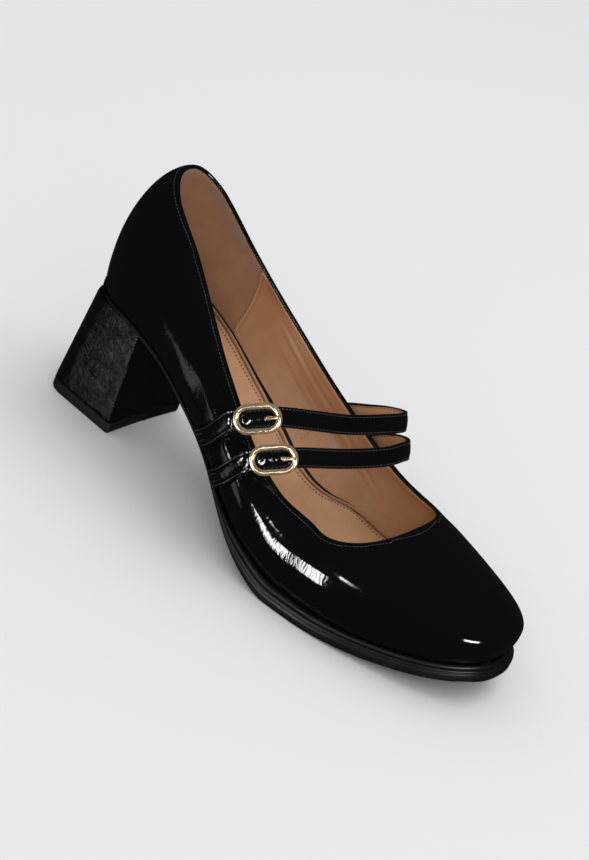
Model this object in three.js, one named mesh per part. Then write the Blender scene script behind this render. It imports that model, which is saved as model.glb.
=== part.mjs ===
import * as THREE from "three";

// A two-strap mary jane pump for the right foot. Sizes are in millimetres. In the tables x runs from
// the back of the heel seat to the toe, y to the inner (medial) side of the foot, z up from the floor.

const lastLength = 242;          // feather line, back of the heel to the tip of the toe
const seatHeight = 60;           // feather line above the floor at the heel
const toeSpring = 12;            // rise of the toe above the tread
const springStart = 168;         // x where the toe starts to rise
const heelCap = 28;              // depth of the rounded heel end
const toeCap = 74;               // depth of the rounded toe end
const heelSquareness = 2.15;     // superellipse exponents of the two ends
const toeSquareness = 2.5;
const wall = 1.8;                // upper leather and lining together
const clearance = 0.3;           // between neighbouring pieces
const soleThick = 6;             // under the ball
const waistThick = 2.2;          // sole at the waist and heel seat
const insoleThick = 3;
const originX = 20;              // centre of the heel's ground face, measured from the heel seat
const heelCapEnd = 0.14;         // perimeter parameter: end of the heel cap, start of the toe cap
const toeCapStart = 0.6;
const sideBlend = 0.14;          // perimeter share over which the two sides become one

// Feather line: half widths each side of the centre line, and the centre line.
const featherTable = [
  { x: 0, lateral: 26.8, medial: 24.5, centre: 0 },
  { x: 28, lateral: 27.5, medial: 26, centre: 0 },
  { x: 60, lateral: 28.5, medial: 23.5, centre: 0 },
  { x: 95, lateral: 32.5, medial: 24.5, centre: 1 },
  { x: 130, lateral: 42, medial: 33, centre: 3.5 },
  { x: 152, lateral: 43.6, medial: 37.6, centre: 5.5 },
  { x: 168, lateral: 42.8, medial: 38.2, centre: 6.5 },
  { x: 184, lateral: 41, medial: 37.4, centre: 7.2 },
  { x: 212, lateral: 36.2, medial: 34, centre: 8 },
  { x: 242, lateral: 32.5, medial: 31, centre: 8 },
];

// Sections on each side: bulge past the feather line, height of the widest point, height where the
// section would close over the foot, and its exponent.
const sectionTable = [
  { x: 0, bulgeLateral: 1.2, bulgeMedial: 1.2, wide: 20, crownLateral: 76, crownMedial: 76, round: 1.87 },
  { x: 28, bulgeLateral: 1.4, bulgeMedial: 1.4, wide: 19, crownLateral: 63.4, crownMedial: 63.4, round: 1.92 },
  { x: 60, bulgeLateral: 3, bulgeMedial: 3.5, wide: 18, crownLateral: 43.4, crownMedial: 48, round: 2.65 },
  { x: 95, bulgeLateral: 4, bulgeMedial: 7.5, wide: 17, crownLateral: 41, crownMedial: 60, round: 2.3 },
  { x: 130, bulgeLateral: 3.5, bulgeMedial: 5.5, wide: 16, crownLateral: 38, crownMedial: 56, round: 2.3 },
  { x: 152, bulgeLateral: 2.8, bulgeMedial: 3, wide: 14, crownLateral: 38.5, crownMedial: 49, round: 2.3 },
  { x: 168, bulgeLateral: 2.8, bulgeMedial: 2.8, wide: 13.5, crownLateral: 39.5, crownMedial: 42.5, round: 2.35 },
  { x: 184, bulgeLateral: 3, bulgeMedial: 3, wide: 13, crownLateral: 38.5, crownMedial: 38.5, round: 2.4 },
  { x: 212, bulgeLateral: 3, bulgeMedial: 3, wide: 12, crownLateral: 32, crownMedial: 32, round: 2.5 },
  { x: 242, bulgeLateral: 3, bulgeMedial: 3, wide: 11, crownLateral: 25.5, crownMedial: 25.5, round: 2.6 },
];

// Share of the heel's lift that is left at each station of the footbed.
const liftTable = [
  { x: 0, share: 1 },
  { x: 25, share: 0.985 },
  { x: 50, share: 0.9 },
  { x: 80, share: 0.655 },
  { x: 110, share: 0.345 },
  { x: 138, share: 0.1 },
  { x: 158, share: 0 },
  { x: 242, share: 0 },
];

// Height of the topline above the floor. Past throatStart it curves up to close the throat.
const toplineTable = [
  { x: 8, z: 128.4 },
  { x: 25, z: 116.2 },
  { x: 45, z: 102.9 },
  { x: 65, z: 87.2 },
  { x: 85, z: 73 },
  { x: 105, z: 59.7 },
  { x: 125, z: 48 },
  { x: 145, z: 40 },
  { x: 165, z: 37.5 },
];
const throatStart = 160;
const throatCurve = 0.013;

// Sole: how far it stands past the feather line, and its thickness.
const soleTable = [
  { x: 0, ledge: 0.4, thick: 2.2 },
  { x: 60, ledge: 0.4, thick: 2.2 },
  { x: 95, ledge: 0.6, thick: 2.2 },
  { x: 125, ledge: 3.6, thick: 3.6 },
  { x: 145, ledge: 5.2, thick: 5.5 },
  { x: 156, ledge: 5.4, thick: 6 },
  { x: 200, ledge: 4.8, thick: 6 },
  { x: 242, ledge: 4.6, thick: 6 },
];

// Heel block: a rounded back and a flat breast, from the floor end to the seat end.
const heelBlock = {
  bottomBack: -3,
  bottomBreast: 40,
  bottomHalf: 24.5,
  topBack: 4,
  topBreast: 39,
  topHalf: 26,
  backDepth: 13,
  squareness: 3.2,
};
const topPieceThick = 5.2;

// Straps and tabs are flat leather bands. stand is the clearance from the wall at the band's foot, and
// lift is what it gains by the topline. foot is the lowest phi of a band,
// and sweep above 1 makes it start upright and lean forward higher up.
const band = {
  width: 8.8, thick: 2, stand: 0.3, lift: 1, foot: -0.78, sweep: 1.3,
  beforeCentre: 8, pastCentre: 8.6,
};
const ring = { long: 21.2, across: 13.2, wire: 1.15, raise: 0.2 };
const prong = { root: 4, tip: 10.6, radius: 0.85, tipRadius: 0.65 };

// A strap climbs the medial wall from rootFoot to rootTop, leaves it at rootRise of the way up, loops
// over the instep and ends in the buckle. Its tab climbs the lateral wall from tabFoot to tabTop and
// leaves it at tabRise.
const strapTable = [
  { name: "rear", rootFoot: 96, rootTop: 115, tabFoot: 92, tabTop: 104.5 },
  { name: "front", rootFoot: 113, rootTop: 130, tabFoot: 108, tabTop: 120 },
];
const rootRise = 0.64;
const tabRise = 0.42;
const loopTable = {
  rear: [
    { x: 123.5, y: 42.4, z: 53.8 },
    { x: 132.5, y: 42.8, z: 58.6 },
    { x: 140.8, y: 40.5, z: 63 },
    { x: 143.3, y: 34, z: 65.2 },
    { x: 141.3, y: 24, z: 65.8 },
    { x: 135, y: 6, z: 65.8 },
    { x: 115.4, y: -34, z: 66 },
  ],
  front: [
    { x: 138.5, y: 43.8, z: 48 },
    { x: 144.8, y: 43.5, z: 50.6 },
    { x: 149.3, y: 38.5, z: 53.2 },
    { x: 150.8, y: 31.5, z: 55.2 },
    { x: 149.8, y: 21, z: 55 },
    { x: 143, y: 4, z: 53.7 },
    { x: 131, y: -35.5, z: 56.2 },
  ],
};
const lean = { x: 0.49, y: -0.18, z: -0.853 };      // across a strap, downward
const towardTab = { x: -0.75, y: -0.5, z: -0.5 };  // along a buckle

const vec = (x, y, z) => new THREE.Vector3(x, y, z);
const column = (table, name) => table.map((row) => row[name]);

// Natural cubic spline through a table's columns, straight past its ends.
function smooth(table, name) {
  const xs = column(table, "x");
  const ys = column(table, name);
  const n = xs.length;
  const upper = new Array(n).fill(0);
  const bend = new Array(n).fill(0);
  for (let i = 1; i < n - 1; i++) {
    const before = xs[i] - xs[i - 1];
    const after = xs[i + 1] - xs[i];
    const slopes = (ys[i + 1] - ys[i]) / after - (ys[i] - ys[i - 1]) / before;
    const pivot = 2 * (before + after) - before * upper[i - 1];
    upper[i] = after / pivot;
    bend[i] = (6 * slopes - before * bend[i - 1]) / pivot;
  }
  for (let i = n - 2; i > 0; i--) {
    bend[i] -= upper[i] * bend[i + 1];
  }
  const endSlope = (i, j) => (ys[j] - ys[i]) / (xs[j] - xs[i]);
  const firstSlope = endSlope(0, 1) - ((xs[1] - xs[0]) * bend[1]) / 6;
  const lastSlope = endSlope(n - 2, n - 1) + ((xs[n - 1] - xs[n - 2]) * bend[n - 2]) / 6;
  return (x) => {
    if (x <= xs[0]) return ys[0] + firstSlope * (x - xs[0]);
    if (x >= xs[n - 1]) return ys[n - 1] + lastSlope * (x - xs[n - 1]);
    let i = 0;
    while (x > xs[i + 1]) i++;
    const span = xs[i + 1] - xs[i];
    const a = (xs[i + 1] - x) / span;
    const b = 1 - a;
    const curve = ((a ** 3 - a) * bend[i] + (b ** 3 - b) * bend[i + 1]) * (span * span) / 6;
    return a * ys[i] + b * ys[i + 1] + curve;
  };
}

// Monotone curve through a table's columns, level past its ends.
function steady(table, name) {
  const xs = column(table, "x");
  const ys = column(table, name);
  const n = xs.length;
  const slope = (i) => (ys[i + 1] - ys[i]) / (xs[i + 1] - xs[i]);
  const tangent = ys.map((_, i) => {
    if (i === 0 || i === n - 1) return 0;
    const before = slope(i - 1);
    const after = slope(i);
    return before * after <= 0 ? 0 : (2 * before * after) / (before + after);
  });
  return (x) => {
    if (x <= xs[0]) return ys[0];
    if (x >= xs[n - 1]) return ys[n - 1];
    let i = 0;
    while (x > xs[i + 1]) i++;
    const span = xs[i + 1] - xs[i];
    const t = (x - xs[i]) / span;
    const rise = t * t * (3 - 2 * t);
    const lead = t * (1 - t) * (1 - t) * span * tangent[i];
    const trail = t * t * (t - 1) * span * tangent[i + 1];
    return ys[i] * (1 - rise) + ys[i + 1] * rise + lead + trail;
  };
}

const curves = (table, names) => Object.fromEntries(names.map((name) => [name, smooth(table, name)]));
const feather = curves(featherTable, ["lateral", "medial", "centre"]);
const section = curves(sectionTable, [
  "bulgeLateral", "bulgeMedial", "wide", "crownLateral", "crownMedial", "round",
]);
const liftShare = steady(liftTable, "share");
const toplineRear = smooth(toplineTable, "z");
const soleLedge = steady(soleTable, "ledge");
const soleDepth = steady(soleTable, "thick");

const clamp = (value, low, high) => Math.min(Math.max(value, low), high);
const onLast = (x) => clamp(x, 0, lastLength);

// Height of the feather line.
function featherZ(x) {
  const spring = clamp((x - springStart) / (lastLength - springStart), 0, 1.2);
  return soleThick + liftShare(x) * (seatHeight - soleThick) + toeSpring * spring ** 2;
}

function toplineZ(x) {
  return toplineRear(Math.min(x, toplineTable.at(-1).x)) + throatCurve * Math.max(x - throatStart, 0) ** 2;
}

const halfWidth = (x, side) => (side < 0 ? feather.lateral : feather.medial)(onLast(x));

// A section size of one side, eased into the mean of both sides at the heel and toe.
function sided(name, x, u, side) {
  const lateral = section[`${name}Lateral`](onLast(x));
  const medial = section[`${name}Medial`](onLast(x));
  const away = clamp(Math.min(u, 1 - u) / sideBlend, 0, 1);
  const share = side * away * away * (3 - 2 * away);
  return (lateral + medial + share * (medial - lateral)) / 2;
}

// Plan outline. u runs from the back of the heel (0) to the toe tip (1); side is -1 lateral, +1 medial.
function outline(u, side, offset) {
  const toeStart = lastLength - toeCap;
  let x;
  let cap = 1;
  let centreX;
  if (u < heelCapEnd) {
    const angle = (u / heelCapEnd) * Math.PI / 2;
    x = heelCap - (heelCap + offset) * Math.max(Math.cos(angle), 0) ** (2 / heelSquareness);
    cap = Math.sin(angle) ** (2 / heelSquareness);
    centreX = heelCap;
  } else if (u > toeCapStart) {
    const angle = ((1 - u) / (1 - toeCapStart)) * Math.PI / 2;
    x = toeStart + (toeCap + offset) * Math.max(Math.cos(angle), 0) ** (2 / toeSquareness);
    cap = Math.max(Math.sin(angle), 0) ** (2 / toeSquareness);
    centreX = toeStart;
  } else {
    x = heelCap + ((u - heelCapEnd) / (toeCapStart - heelCapEnd)) * (toeStart - heelCap);
    centreX = x;
  }
  return { x, y: feather.centre(onLast(x)) + side * (halfWidth(x, side) + offset) * cap, cap, centreX };
}

// A point of the last's surface. phi runs from -1 at the feather line, through 0 at the widest line,
// to pi/2 at the ridge over the foot.
function lastPoint(u, side, phi) {
  const tuck = phi < 0 ? Math.abs(phi) ** 2.4 : 0;
  const bulge = sided("bulge", outline(u, side, 0).x, u, side) * (1 - tuck);
  const edge = outline(u, side, bulge);
  const up = clamp(phi, 0, Math.PI / 2);
  const power = 2 / section.round(onLast(edge.x));
  const reach = Math.cos(up) ** power;
  const x = edge.centreX + (edge.x - edge.centreX) * reach;
  const y = feather.centre(onLast(x)) + side * (halfWidth(x, side) + bulge) * edge.cap * reach;
  const wide = section.wide(onLast(x));
  const crown = sided("crown", x, u, side) - wide;
  const height = phi < 0 ? wide * (1 + phi) : wide + crown * Math.sin(up) ** power;
  return vec(x, y, featherZ(x) + height);
}

function sideNormal(u, side, phi) {
  const step = 1e-3;
  const along = lastPoint(u + step, side, phi).sub(lastPoint(u - step, side, phi));
  const over = lastPoint(u, side, phi + step / 2).sub(lastPoint(u, side, phi - step / 2));
  return along.cross(over).normalize().multiplyScalar(-side);
}

// Outward normal of the last's surface. At the heel and toe the two sides share one normal.
function lastNormal(u, side, phi) {
  const at = clamp(u, 0.002, 0.998);
  const normal = sideNormal(at, side, phi);
  if (u !== at) {
    normal.add(sideNormal(at, -side, phi));
    normal.y = 0;
  }
  return normal.normalize();
}

function offsetPoint(u, side, phi, distance) {
  return lastPoint(u, side, phi).addScaledVector(lastNormal(u, side, phi), distance);
}

// phi where the surface reaches a height, which is given as a function of x.
function phiAtHeight(u, side, heightAt, lowest) {
  const above = (phi) => {
    const point = lastPoint(u, side, phi);
    return point.z - heightAt(point.x);
  };
  let low = lowest;
  let high = Math.PI / 2;
  for (let i = 0; i < 40; i++) {
    const middle = (low + high) / 2;
    if (above(middle) > 0) high = middle;
    else low = middle;
  }
  return (low + high) / 2;
}

const toplinePhi = (u, side) => phiAtHeight(u, side, toplineZ, 0);

const spread = (from, to, count, power = 1) =>
  Array.from({ length: count }, (_, i) => from + (to - from) * (1 - (1 - i / count) ** power));

// A closed body built from triangles whose equal corners are welded.
class Body {
  constructor() {
    this.points = [];
    this.faces = [];
    this.known = new Map();
  }

  vertex(point) {
    const key = [point.x, point.y, point.z].map((value) => Math.round(value * 5000)).join();
    if (!this.known.has(key)) {
      this.known.set(key, this.points.length);
      this.points.push(point);
    }
    return this.known.get(key);
  }

  triangle(a, b, c) {
    const [i, j, k] = [a, b, c].map((point) => this.vertex(point));
    if (i !== j && j !== k && k !== i) this.faces.push(i, j, k);
  }

  // Corners in anticlockwise order as seen from outside; flip turns the face over.
  quad(a, b, c, d, flip = false) {
    if (flip) {
      this.quad(d, c, b, a);
      return;
    }
    this.triangle(a, b, c);
    this.triangle(a, c, d);
  }

  geometry() {
    const shape = new THREE.BufferGeometry();
    const flat = this.points.flatMap((point) => [point.x - originX, point.y, point.z]);
    shape.setAttribute("position", new THREE.Float32BufferAttribute(flat, 3));
    shape.setIndex(this.faces);
    shape.computeVertexNormals();
    return shape;
  }
}

const upperColumns = [
  ...spread(0, heelCapEnd, 9),
  ...spread(heelCapEnd, toeCapStart, 16),
  ...spread(toeCapStart, 1, 18),
  1,
];
const upperLowRows = [-1, -0.72, -0.4, 0];
const upperHighRows = 9;

// The upper: one wall between the last's surface and the same surface moved in by the wall.
function buildUpper() {
  const body = new Body();
  const rows = upperLowRows.length + upperHighRows;
  for (const side of [-1, 1]) {
    const flip = side > 0;
    const skins = upperColumns.map((u) => {
      const top = toplinePhi(u, side);
      const high = Array.from({ length: upperHighRows }, (_, j) => (top * (j + 1)) / upperHighRows);
      const phis = [...upperLowRows, ...high];
      return {
        outer: phis.map((phi) => lastPoint(u, side, phi)),
        inner: phis.map((phi) => offsetPoint(u, side, phi, -wall)),
      };
    });
    for (let i = 0; i < skins.length - 1; i++) {
      const [here, next] = [skins[i], skins[i + 1]];
      for (let j = 0; j < rows - 1; j++) {
        body.quad(here.outer[j], next.outer[j], next.outer[j + 1], here.outer[j + 1], flip);
        body.quad(here.inner[j], here.inner[j + 1], next.inner[j + 1], next.inner[j], flip);
      }
      body.quad(next.outer[0], here.outer[0], here.inner[0], next.inner[0], flip);
      body.quad(here.outer[rows - 1], next.outer[rows - 1], next.inner[rows - 1], here.inner[rows - 1], flip);
    }
  }
  return body;
}

// A slab that follows the footbed: rings of outline points from the underside to the top, with the
// lateral and medial points of each station joined straight across.
function buildSlab(stations, rings) {
  const body = new Body();
  for (const side of [-1, 1]) {
    const flip = side > 0;
    for (let i = 0; i < stations.length - 1; i++) {
      for (let j = 0; j < rings.length - 1; j++) {
        const [low, high] = [rings[j], rings[j + 1]];
        const [a, b] = [stations[i], stations[i + 1]];
        body.quad(low(a, side), low(b, side), high(b, side), high(a, side), flip);
      }
    }
  }
  const [under, over] = [rings[0], rings.at(-1)];
  for (let i = 0; i < stations.length - 1; i++) {
    const [a, b] = [stations[i], stations[i + 1]];
    body.quad(over(a, -1), over(b, -1), over(b, 1), over(a, 1));
    body.quad(under(a, 1), under(b, 1), under(b, -1), under(a, -1));
  }
  return body;
}

const footStations = [
  ...spread(0, heelCapEnd, 8),
  ...spread(heelCapEnd, toeCapStart, 15),
  ...spread(toeCapStart, 1, 18),
  1,
];

function edgePoint(u, side, offset, height) {
  const point = outline(u, side, offset);
  return vec(point.x, point.y, height(point.x));
}

// The outsole: a thin seat and waist that grows to a thick forepart standing proud of the upper.
function buildOutsole() {
  const ledge = (u, side) => soleLedge(outline(u, side, 0).x);
  const top = (x) => featherZ(x) - clearance;
  const bottom = (x) => featherZ(x) - soleDepth(x);
  const bevel = 0.8;
  const rings = [
    (u, side) => edgePoint(u, side, ledge(u, side) - bevel, bottom),
    (u, side) => edgePoint(u, side, ledge(u, side), (x) => bottom(x) + bevel),
    (u, side) => edgePoint(u, side, ledge(u, side), (x) => top(x) - 0.6),
    (u, side) => edgePoint(u, side, ledge(u, side) - 0.6, top),
  ];
  return buildSlab(footStations, rings);
}

function buildInsole() {
  const inset = -(wall + 0.7);
  const rings = [
    (u, side) => edgePoint(u, side, inset, (x) => featherZ(x) + clearance),
    (u, side) => edgePoint(u, side, inset, (x) => featherZ(x) + insoleThick),
  ];
  return buildSlab(footStations, rings);
}

// Half outline of the heel block at a share of its height, 0 at the floor and 1 at the seat.
function heelPoint(share, station, side) {
  const mix = (low, high) => low + (high - low) * share;
  const back = mix(heelBlock.bottomBack, heelBlock.topBack);
  const breast = mix(heelBlock.bottomBreast, heelBlock.topBreast);
  const half = mix(heelBlock.bottomHalf, heelBlock.topHalf);
  const power = 2 / heelBlock.squareness;
  if (station > 1) {
    const x = back + heelBlock.backDepth + (station - 1) * (breast - back - heelBlock.backDepth);
    return { x, y: side * half };
  }
  const angle = station * Math.PI / 2;
  const x = back + heelBlock.backDepth * (1 - Math.max(Math.cos(angle), 0) ** power);
  return { x, y: side * half * Math.sin(angle) ** power };
}

const heelStations = [...spread(0, 1, 12), ...spread(1, 2, 4), 2];

function buildHeelBlock() {
  const base = topPieceThick + clearance;
  const seat = (x) => featherZ(x) - waistThick - clearance;
  const ringAt = (share) => (station, side) => {
    const point = heelPoint(share, station, side);
    return vec(point.x, point.y, base + (seat(point.x) - base) * share);
  };
  const body = buildSlab(heelStations, [0, 0.5, 1].map(ringAt));
  closeBreast(body, [0, 0.5, 1].map(ringAt));
  return body;
}

function closeBreast(body, rings) {
  for (let j = 0; j < rings.length - 1; j++) {
    const [low, high] = [rings[j], rings[j + 1]];
    body.quad(low(2, -1), low(2, 1), high(2, 1), high(2, -1));
  }
}

function buildTopPiece() {
  const ringAt = (z) => (station, side) => {
    const point = heelPoint(0, station, side);
    return vec(point.x, point.y, z);
  };
  const body = buildSlab(heelStations, [0, topPieceThick].map(ringAt));
  closeBreast(body, [0, topPieceThick].map(ringAt));
  return body;
}

// Perimeter parameter of a station between the two caps.
function alongAt(x) {
  const share = (x - heelCap) / (lastLength - toeCap - heelCap);
  return heelCapEnd + share * (toeCapStart - heelCapEnd);
}

// Band stations in a straight line up one wall, to a share of the topline: the centre of the band and
// the direction of its width.
function wallStations(foot, top, side, rise, count) {
  const footHeight = lastPoint(alongAt(foot), side, band.foot).z;
  const topHeight = lastPoint(alongAt(top), side, rise * toplinePhi(alongAt(top), side)).z;
  const stations = [];
  for (let i = 0; i < count; i++) {
    const share = i / (count - 1);
    const along = share ** band.sweep;
    const u = alongAt(foot + (top - foot) * along);
    const level = footHeight + (topHeight - footHeight) * along;
    const phi = phiAtHeight(u, side, () => level, band.foot);
    const height = band.stand + band.thick / 2 + band.lift * share ** 2;
    stations.push({ point: offsetPoint(u, side, phi, height), normal: lastNormal(u, side, phi) });
  }
  return stations.map(({ point, normal }, i) => {
    const before = stations[Math.max(i - 1, 0)].point;
    const after = stations[Math.min(i + 1, count - 1)].point;
    return { point, width: normal.cross(after.clone().sub(before)).normalize() };
  });
}

// Even stations along a smooth path through the given ones.
function resample(stations, count) {
  const path = new THREE.CatmullRomCurve3(stations.map((station) => station.point), false, "centripetal");
  const widths = new THREE.CatmullRomCurve3(stations.map((station) => station.width), false, "catmullrom");
  return Array.from({ length: count + 1 }, (_, i) => {
    const share = i / count;
    const along = path.getTangent(share);
    const width = widths.getPoint(share);
    width.addScaledVector(along, -width.dot(along)).normalize();
    return { point: path.getPoint(share), width, normal: along.clone().cross(width).normalize() };
  });
}

// A flat band of rectangular section along the stations.
function sweepBand(stations) {
  const body = new Body();
  const half = band.width / 2;
  const deep = band.thick / 2;
  const corners = stations.map(({ point, width, normal }) =>
    [[-half, -deep], [half, -deep], [half, deep], [-half, deep]].map(([w, n]) =>
      point.clone().addScaledVector(width, w).addScaledVector(normal, n)));
  for (let i = 0; i < corners.length - 1; i++) {
    for (let k = 0; k < 4; k++) {
      const next = (k + 1) % 4;
      body.quad(corners[i][k], corners[i][next], corners[i + 1][next], corners[i + 1][k]);
    }
  }
  const [first, final] = [corners[0], corners.at(-1)];
  body.quad(first[3], first[2], first[1], first[0]);
  body.quad(final[0], final[1], final[2], final[3]);
  return body;
}

const toVec = ({ x, y, z }) => vec(x, y, z);

const rootStations = (strap) => wallStations(strap.rootFoot, strap.rootTop, 1, rootRise, 6);
const tabStations = (strap) => wallStations(strap.tabFoot, strap.tabTop, -1, tabRise, 6);

// The buckle's own axes: along the strap toward the tab, across it, and out of its face.
function buckleFrame(strap) {
  const centre = toVec(loopTable[strap.name].at(-1));
  const along = toVec(towardTab).normalize();
  const across = toVec(lean);
  across.addScaledVector(along, -across.dot(along)).normalize();
  const out = along.clone().cross(across);
  const at = (a, b, c) => {
    const moved = centre.clone().addScaledVector(along, a);
    return moved.addScaledVector(across, b).addScaledVector(out, c);
  };
  return { along, across, out, at };
}

function buildStrap(strap) {
  const frame = buckleFrame(strap);
  const width = toVec(lean);
  const root = rootStations(strap);
  const loop = loopTable[strap.name].slice(0, -1).map((point) => ({ point: toVec(point), width }));
  loop[0].width = root.at(-1).width;
  const end = [-band.beforeCentre, 0, band.pastCentre].map((along) => {
    return { point: frame.at(along, 0, 0), width: frame.across };
  });
  return sweepBand(resample([...root, ...loop, ...end], 44));
}

function buildTab(strap) {
  const frame = buckleFrame(strap);
  const width = frame.across.clone().negate();
  const end = [3, clearance].map((past) => ({ point: frame.at(band.pastCentre + past, 0, 0), width }));
  return sweepBand(resample([...tabStations(strap), ...end], 20));
}

// A round bar along a path; a closed path joins its ends, an open one gets flat caps.
function sweepRod(centres, frames, radii, closed) {
  const sides = 10;
  const body = new Body();
  const hoops = centres.map((centre, i) =>
    Array.from({ length: sides }, (_, k) => {
      const angle = (k / sides) * 2 * Math.PI;
      const { first, second } = frames[i];
      const spoke = first.clone().multiplyScalar(Math.cos(angle)).addScaledVector(second, Math.sin(angle));
      return centre.clone().addScaledVector(spoke, radii[i]);
    }));
  const spans = closed ? hoops.length : hoops.length - 1;
  for (let i = 0; i < spans; i++) {
    const [here, next] = [hoops[i], hoops[(i + 1) % hoops.length]];
    for (let k = 0; k < sides; k++) {
      const m = (k + 1) % sides;
      body.quad(here[k], here[m], next[m], next[k]);
    }
  }
  if (!closed) {
    for (let k = 1; k < sides - 1; k++) {
      body.triangle(hoops[0][0], hoops[0][k + 1], hoops[0][k]);
      body.triangle(hoops.at(-1)[0], hoops.at(-1)[k], hoops.at(-1)[k + 1]);
    }
  }
  return body;
}

// The buckle: an oval ring that lies on the strap, clear of it by the usual gap.
function buildRing(strap) {
  const frame = buckleFrame(strap);
  const steps = 40;
  const height = band.thick / 2 + clearance + ring.raise + ring.wire;
  const end = ring.across / 2 - ring.wire;
  const straight = ring.long / 2 - ring.wire - end;
  const centres = [];
  const frames = [];
  for (let i = 0; i < steps; i++) {
    const angle = ((i + 0.5) / steps) * 2 * Math.PI;
    const [c, s] = [Math.cos(angle), Math.sin(angle)];
    centres.push(frame.at(Math.sign(c) * straight + c * end, s * end, height));
    const outward = frame.along.clone().multiplyScalar(c).addScaledVector(frame.across, s);
    frames.push({ first: outward, second: frame.out.clone().negate() });
  }
  return sweepRod(centres, frames, new Array(steps).fill(ring.wire), true);
}

// The prong rises out of the strap inside the ring and rests on the ring's medial end.
function buildProng(strap) {
  const frame = buckleFrame(strap);
  const low = band.thick / 2 + 2 * clearance + prong.radius;
  const high = band.thick / 2 + 2 * clearance + ring.raise + 2 * ring.wire + prong.radius + 0.1;
  const start = frame.at(-prong.root, 0, low);
  const finish = frame.at(-prong.tip, 0, high);
  const along = finish.clone().sub(start).normalize();
  const hoop = { first: frame.across, second: along.clone().cross(frame.across) };
  return sweepRod([start, finish], [hoop, hoop], [prong.radius, prong.tipRadius], false);
}

function piece(name, body, colour, roughness, metalness = 0) {
  const material = new THREE.MeshStandardMaterial({ color: colour, roughness, metalness });
  const mesh = new THREE.Mesh(body.geometry(), material);
  mesh.name = name;
  return mesh;
}

const patent = "#0b0b0d";
const rubber = "#151515";
const tan = "#c08a5c";
const gold = "#cfae7c";

const shoe = new THREE.Group();
shoe.name = "mary_jane_pump";
shoe.add(
  piece("upper", buildUpper(), patent, 0.12),
  piece("outsole", buildOutsole(), rubber, 0.5),
  piece("insole", buildInsole(), tan, 0.55),
  piece("heel_block", buildHeelBlock(), patent, 0.15),
  piece("heel_top_piece", buildTopPiece(), rubber, 0.7),
);
for (const strap of strapTable) {
  shoe.add(
    piece(`strap_${strap.name}`, buildStrap(strap), patent, 0.15),
    piece(`tab_${strap.name}`, buildTab(strap), patent, 0.15),
    piece(`buckle_${strap.name}`, buildRing(strap), gold, 0.25, 1),
    piece(`prong_${strap.name}`, buildProng(strap), gold, 0.25, 1),
  );
}

export default shoe;
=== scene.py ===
import math

import bpy
import numpy as np
from mathutils import Matrix, Vector


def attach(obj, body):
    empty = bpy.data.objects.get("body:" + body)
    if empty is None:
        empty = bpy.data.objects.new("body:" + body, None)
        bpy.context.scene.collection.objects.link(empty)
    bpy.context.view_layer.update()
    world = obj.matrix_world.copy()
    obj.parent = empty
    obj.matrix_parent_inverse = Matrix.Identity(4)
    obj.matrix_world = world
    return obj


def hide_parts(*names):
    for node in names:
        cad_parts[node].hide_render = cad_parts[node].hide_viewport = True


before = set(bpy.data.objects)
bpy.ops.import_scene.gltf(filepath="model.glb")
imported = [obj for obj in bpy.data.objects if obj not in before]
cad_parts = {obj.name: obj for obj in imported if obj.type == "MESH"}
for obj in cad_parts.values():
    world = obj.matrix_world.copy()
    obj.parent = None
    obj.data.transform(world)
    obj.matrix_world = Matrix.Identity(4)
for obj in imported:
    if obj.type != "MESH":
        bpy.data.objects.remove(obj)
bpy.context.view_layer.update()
mm = 0.001


# A two-strap mary jane pump for the right foot. Forms are worked out in millimetres: x from the back
# of the heel seat to the toe, y to the inner side, z up from the floor. Meshes are in metres.

def columns(names, rows):
    return dict(zip(names.split(), np.array(rows, float).T))


form = {
    "length": 242.0,          # feather line
    "seatHeight": 60.0,
    "toeSpring": 12.0,
    "springStart": 168.0,
    "heelCap": 28.0,
    "toeCap": 74.0,
    "heelSquareness": 2.15,
    "toeSquareness": 2.5,
    "wall": 1.8,
    "soleThick": 6.0,
    "waistThick": 2.2,
    "clearance": 0.3,
    "originX": 20.0,
    "heelCapEnd": 0.14,
    "toeCapStart": 0.6,
    "sideBlend": 0.14,
    "throatStart": 160.0,
    "throatCurve": 0.013,
}

featherTable = columns("x lateral medial centre", [
    (0, 26.8, 24.5, 0),
    (28, 27.5, 26, 0),
    (60, 28.5, 23.5, 0),
    (95, 32.5, 24.5, 1),
    (130, 42, 33, 3.5),
    (152, 43.6, 37.6, 5.5),
    (168, 42.8, 38.2, 6.5),
    (184, 41, 37.4, 7.2),
    (212, 36.2, 34, 8),
    (242, 32.5, 31, 8),
])
sectionTable = columns("x bulgeLateral bulgeMedial wide crownLateral crownMedial round", [
    (0, 1.2, 1.2, 20, 76, 76, 1.87),
    (28, 1.4, 1.4, 19, 63.4, 63.4, 1.92),
    (60, 3, 3.5, 18, 43.4, 48, 2.65),
    (95, 4, 7.5, 17, 41, 60, 2.3),
    (130, 3.5, 5.5, 16, 38, 56, 2.3),
    (152, 2.8, 3, 14, 38.5, 49, 2.3),
    (168, 2.8, 2.8, 13.5, 39.5, 42.5, 2.35),
    (184, 3, 3, 13, 38.5, 38.5, 2.4),
    (212, 3, 3, 12, 32, 32, 2.5),
    (242, 3, 3, 11, 25.5, 25.5, 2.6),
])
liftTable = columns("x share", [
    (0, 1), (25, 0.985), (50, 0.9), (80, 0.655), (110, 0.345), (138, 0.1), (158, 0), (242, 0),
])
toplineTable = columns("x z", [
    (8, 128.4), (25, 116.2), (45, 102.9), (65, 87.2), (85, 73),
    (105, 59.7), (125, 48), (145, 40), (165, 37.5),
])
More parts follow.
